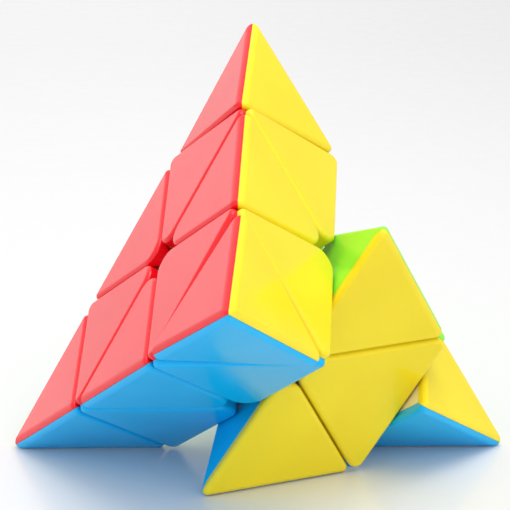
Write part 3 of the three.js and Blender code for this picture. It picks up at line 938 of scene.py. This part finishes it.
class PUZZLE_OT_edges(bpy.types.Operator):
    """Make the six edge pieces, each a body in one colour with a cap in another, and their ball feet"""

    bl_idname = "puzzle.edges"
    bl_label = "Edge pieces"

    def execute(self, context):
        sizes = context.scene.puzzle_sizes
        layout = Layout(sizes)
        for first, second, cap_face, body_face in EDGES:
            ends = (first, second)
            body, placed = in_layer(sizes, ends)
            node = f"edge_{first}_{second}"
            label = f"Edge_{first}_{second}"
            outward = unit(AXIS[first] + AXIS[second])
            facets = [layout.deeper(cap_face, 0), layout.deeper(body_face, 0)]
            walls = [above(end, layout.layer_cut + layout.half_gap) for end in ends]
            whole = [*facets, *walls, *layout.ridge(*facets)]
            for facet in facets:
                whole.extend(layout.fillet(facet, *walls, sizes.centre_fillet))
            solid = rounded_block(whole, sizes.rounding, sizes.step)
            over = solid.copy()
            cut(over, layout.shallower(cap_face, sizes.cap), mitre(cap_face, body_face, sizes.seam / 2))
            cap = add_skirt(new_object(f"{label}_cap", over), solid.copy(), sizes, layout, cap_face)
            spot = layout.face_centre(cap_face) - along(cap_face, body_face) * sizes.edge / 3 / math.sqrt(3)
            combine(cap, "UNION", peg(sizes, cap_face, spot))
            shade = FACE_COLOUR[cap_face]
            finish_piece(cap, body, f"{node}_cap", shade, placed)

            main = new_object(f"{label}_main", solid)
            seat = block([
                layout.deeper(cap_face, -sizes.cap),
                layout.shallower(cap_face, sizes.cap + sizes.seam),
                mitre(cap_face, body_face, -sizes.seam / 2),
                *(above(end, 0) for end in ends),
            ])
            combine(
                main, "DIFFERENCE", seat, ball(layout.ball + layout.half_gap, sizes.sides),
                rod(outward, layout.foot_peg + sizes.gap, 0, layout.foot_peg_end + sizes.gap, sizes.sides),
                peg_socket(sizes, cap_face, spot),
                skirt_rod(sizes, layout, cap_face, sizes.seam),
            )
            shade = FACE_COLOUR[body_face]
            finish_piece(main, body, f"{node}_body", shade, placed)

            foot = self.foot(sizes, layout, f"{label}_heel", ends, outward)
            finish_piece(foot, body, f"{node}_foot", "natural", placed)
        return {"FINISHED"}

    def foot(self, sizes, layout, name, ends, outward):
        """A share of the ball joint, between the cones of the layers it belongs to."""
        foot = new_object(name, ball(layout.ball - layout.half_gap, sizes.sides))
        combine(foot, "DIFFERENCE", ball(sizes.core + sizes.gap, sizes.sides // 2))
        combine(foot, "INTERSECT", *(layer_cone(layout, end, layout.half_gap, sizes.sides) for end in ends))
        for end in others(*ends):
            combine(foot, "DIFFERENCE", layer_cone(layout, end, -layout.half_gap, sizes.sides))
        start = (sizes.core + layout.ball) / 2
        neck = rod(outward, layout.foot_peg, start, layout.foot_peg_end, sizes.sides // 2)
        return combine(foot, "UNION", neck)


def layer_cone(layout, corner, clearance, sides):
    """What lies inside a layer's cone, as far as the ball joint reaches."""
    start = clearance / math.sin(CONE)
    reach = layout.ball + 2 * OVERLAP
    outline = [(0, start), (reach * math.tan(CONE), start + reach), (0, start + reach)]
    return lathe(AXIS[corner], outline, sides)


class PUZZLE_OT_core(bpy.types.Operator):
    """Make the ball core with its four arms"""

    bl_idname = "puzzle.core"
    bl_label = "Core"

    def execute(self, context):
        sizes = context.scene.puzzle_sizes
        core = new_object("Core_ball", ball(sizes.core, sizes.sides))
        sides = sizes.sides // 2
        arms = [rod(axis, sizes.arm, sizes.core / 2, sizes.arm_end, sides) for axis in AXIS.values()]
        combine(core, "UNION", *arms)
        start, end = sizes.screw_end - sizes.gap, sizes.arm_end + OVERLAP
        bores = [rod(axis, sizes.screw + sizes.gap, start, end, sides) for axis in AXIS.values()]
        combine(core, "DIFFERENCE", *bores)
        finish_piece(core, "root", "core", "core", Matrix.Identity(4))
        return {"FINISHED"}


class PUZZLE_OT_screws(bpy.types.Operator):
    """Make the four screws and their springs"""

    bl_idname = "puzzle.screws"
    bl_label = "Screws and springs"

    def execute(self, context):
        sizes = context.scene.puzzle_sizes
        layout = Layout(sizes)
        coil_height = layout.head_seat - layout.floor_top - 2 * (sizes.gap + sizes.wire)
        for corner in CORNERS:
            placed = Vector((0, 0, 1)).rotation_difference(Vector(AXIS[corner])).to_matrix().to_4x4()
            screw = self.screw(sizes, layout, f"Pin_{corner}")
            finish_piece(screw, "root", f"screw_{corner}", "steel", placed)
            spring = coil_spring(
                f"Coil_{corner}", radius=sizes.spring, wire=sizes.wire, height=coil_height,
                turns=coil_height / sizes.spring_pitch, steps=36, wire_sides=12, material=finish_of("steel"),
            )
            foot = layout.floor_top + sizes.gap + sizes.wire
            spring.data.transform(Matrix.Translation((0, 0, foot)))
            finish_piece(spring, "root", f"spring_{corner}", "steel", placed)
        return {"FINISHED"}

    def screw(self, sizes, layout, name):
        up = np.array((0.0, 0.0, 1.0))
        shank_length = layout.head_seat + sizes.head_height / 2 - sizes.screw_end
        screw = threaded_shank(
            name, radius=sizes.screw, depth=sizes.thread, pitch=sizes.screw_pitch, length=shank_length,
            plain=sizes.head_height, sides=24, rows=round(6 * shank_length / sizes.screw_pitch),
            material=finish_of("steel"),
        )
        screw.data.transform(Matrix.Translation((0, 0, sizes.screw_end)))
        dome, drop = sizes.head * DOME_SHARE, sizes.head_height * DROP_SHARE
        outline = [(0, layout.head_seat), (sizes.head, layout.head_seat)]
        for step in range(HEAD_STEPS + 1):
            angle = math.pi / 2 * step / HEAD_STEPS
            side = sizes.head - dome + dome * math.cos(angle)
            outline.append((side, layout.head_top - drop + drop * math.sin(angle)))
        outline.append((0, layout.head_top))
        combine(screw, "UNION", lathe(up, outline, sizes.sides))
        blades = []
        for turn_by in (0, math.pi / 2):
            side = np.array((math.cos(turn_by), math.sin(turn_by), 0.0))
            across = np.cross(up, side)
            edge = up * layout.head_top + side * sizes.recess_length / 2
            walls = [unit(side * sign - up * RECESS_TAPER) for sign in (1, -1)]
            planes = [(walls[0], walls[0] @ edge), (walls[1], walls[1] @ (edge - side * sizes.recess_length))]
            planes += [(across, sizes.recess_width / 2), (-across, sizes.recess_width / 2)]
            planes.append((-up, sizes.recess_depth - layout.head_top))
            planes.append((up, layout.head_top + sizes.recess_depth))
            blades.append(block(planes))
        return combine(screw, "DIFFERENCE", *blades)


PATCHES = {  # soft patches of the surround: toward where, and the cosines at which each starts and is full
    "lobe": ((-0.55, 0.83, 0.0), 0.55, 0.9),
    "dim": ((0.58, 0.8, 0.12), 0.72, 0.93),
}
LAMPS = {  # the soft lights: name, place and width
    "key": ("Overhead", (0.22, 0.05, 1.12), 0.9),
    "fill": ("Front", (0.5, -1.1, 0.75), 0.8),
}
FLOOR_DEPTH = 0.01
FLOOR_SIDES = 96


class PUZZLE_OT_stage(bpy.types.Operator):
    """Make the floor, the lights and the camera"""

    bl_idname = "puzzle.stage"
    bl_label = "Studio"

    def execute(self, context):
        scene = context.scene
        studio = scene.puzzle_studio
        self.floor(studio)
        self.lights(scene, studio)
        self.camera(scene, studio)
        return {"FINISHED"}

    def floor(self, studio):
        disc = rod(np.array((0.0, 0.0, 1.0)), studio.floor, -FLOOR_DEPTH, 0, FLOOR_SIDES)
        floor = new_object("Studio_floor", disc)
        floor.data.materials.append(finish_of("paper"))

    def lights(self, scene, studio):
        world = bpy.data.worlds.new("Studio surround")
        world.use_nodes = True
        tree = world.node_tree
        place = tree.nodes.new("ShaderNodeTexCoord").outputs["Generated"]
        level = studio.sky
        for setting, (bearing, start, end) in PATCHES.items():
            toward = tree.nodes.new("ShaderNodeVectorMath")
            toward.operation = "DOT_PRODUCT"
            toward.inputs[1].default_value = unit(np.array(bearing))
            patch = tree.nodes.new("ShaderNodeMapRange")
            patch.interpolation_type = "SMOOTHSTEP"
            for name, value in (("From Min", start), ("From Max", end), ("To Max", getattr(studio, setting))):
                patch.inputs[name].default_value = value
            if isinstance(level, float):
                patch.inputs["To Min"].default_value = level
            else:
                tree.links.new(level, patch.inputs["To Min"])
            tree.links.new(place, toward.inputs[0])
            tree.links.new(toward.outputs["Value"], patch.inputs["Value"])
            level = patch.outputs["Result"]
        tree.links.new(level, tree.nodes["Background"].inputs["Color"])
        scene.world = world
        middle = Vector(CENTRE)
        for setting, (name, place, width) in LAMPS.items():
            light = bpy.data.lights.new(name, "AREA")
            light.shape = "SQUARE"
            light.size = width
            light.energy = getattr(studio, setting)
            lamp = bpy.data.objects.new(name, light)
            scene.collection.objects.link(lamp)
            lamp.location = Vector(place)
            lamp.rotation_euler = (middle - Vector(place)).to_track_quat("-Z", "Y").to_euler()

    def camera(self, scene, studio):
        level = math.cos(studio.pitch)
        ahead = Vector((math.sin(studio.yaw) * level, math.cos(studio.yaw) * level, math.sin(studio.pitch)))
        side = ahead.cross(Vector((0, 0, 1))).normalized()
        up = side.cross(ahead)
        across = side * math.cos(studio.roll) + up * math.sin(studio.roll)
        upright = up * math.cos(studio.roll) - side * math.sin(studio.roll)
        data = bpy.data.cameras.new("Camera")
        data.lens = studio.lens
        data.sensor_width = 36.0
        data.clip_start = 0.01
        camera = bpy.data.objects.new("Camera", data)
        scene.collection.objects.link(camera)
        ridge = CENTRE + (AXIS["left"] + AXIS["right"]) / 2 * Layout(scene.puzzle_sizes).apex
        turned = Matrix((across, upright, -ahead)).transposed().to_4x4()
        camera.matrix_world = Matrix.Translation(Vector(ridge) + Vector(studio.camera)) @ turned
        scene.camera = camera
        scene.view_settings.view_transform = "Standard"


class VIEW3D_PT_puzzle(bpy.types.Panel):
    """Sizes, colours and the steps that make the puzzle"""

    bl_label = "Pyramid puzzle"
    bl_space_type = "VIEW_3D"
    bl_region_type = "UI"
    bl_category = "Puzzle"

    def draw(self, context):
        layout = self.layout
        for group in (context.scene.puzzle_sizes, context.scene.puzzle_colours, context.scene.puzzle_studio):
            column = layout.column(align=True)
            for name in group.__annotations__:
                column.prop(group, name)
        for operator in STEPS:
            layout.operator(operator.bl_idname)


STEPS = (
    PUZZLE_OT_stage,
    PUZZLE_OT_tips,
    PUZZLE_OT_corners,
    PUZZLE_OT_edges,
    PUZZLE_OT_core,
    PUZZLE_OT_screws,
)
GROUPS = (PuzzleSizes, PuzzleColours, PuzzleStudio)


def register():
    for kind in (*GROUPS, *STEPS, VIEW3D_PT_puzzle):
        bpy.utils.register_class(kind)
    bpy.types.Scene.puzzle_sizes = PointerProperty(type=PuzzleSizes)
    bpy.types.Scene.puzzle_colours = PointerProperty(type=PuzzleColours)
    bpy.types.Scene.puzzle_studio = PointerProperty(type=PuzzleStudio)


def unregister():
    for name in ("puzzle_sizes", "puzzle_colours", "puzzle_studio"):
        delattr(bpy.types.Scene, name)
    for kind in reversed((*GROUPS, *STEPS, VIEW3D_PT_puzzle)):
        bpy.utils.unregister_class(kind)


def main():
    register()
    bpy.ops.puzzle.stage()
    bpy.ops.puzzle.tips()
    bpy.ops.puzzle.corners()
    bpy.ops.puzzle.edges()
    bpy.ops.puzzle.core()
    bpy.ops.puzzle.screws()
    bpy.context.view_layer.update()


if __name__ == "__main__":
    main()
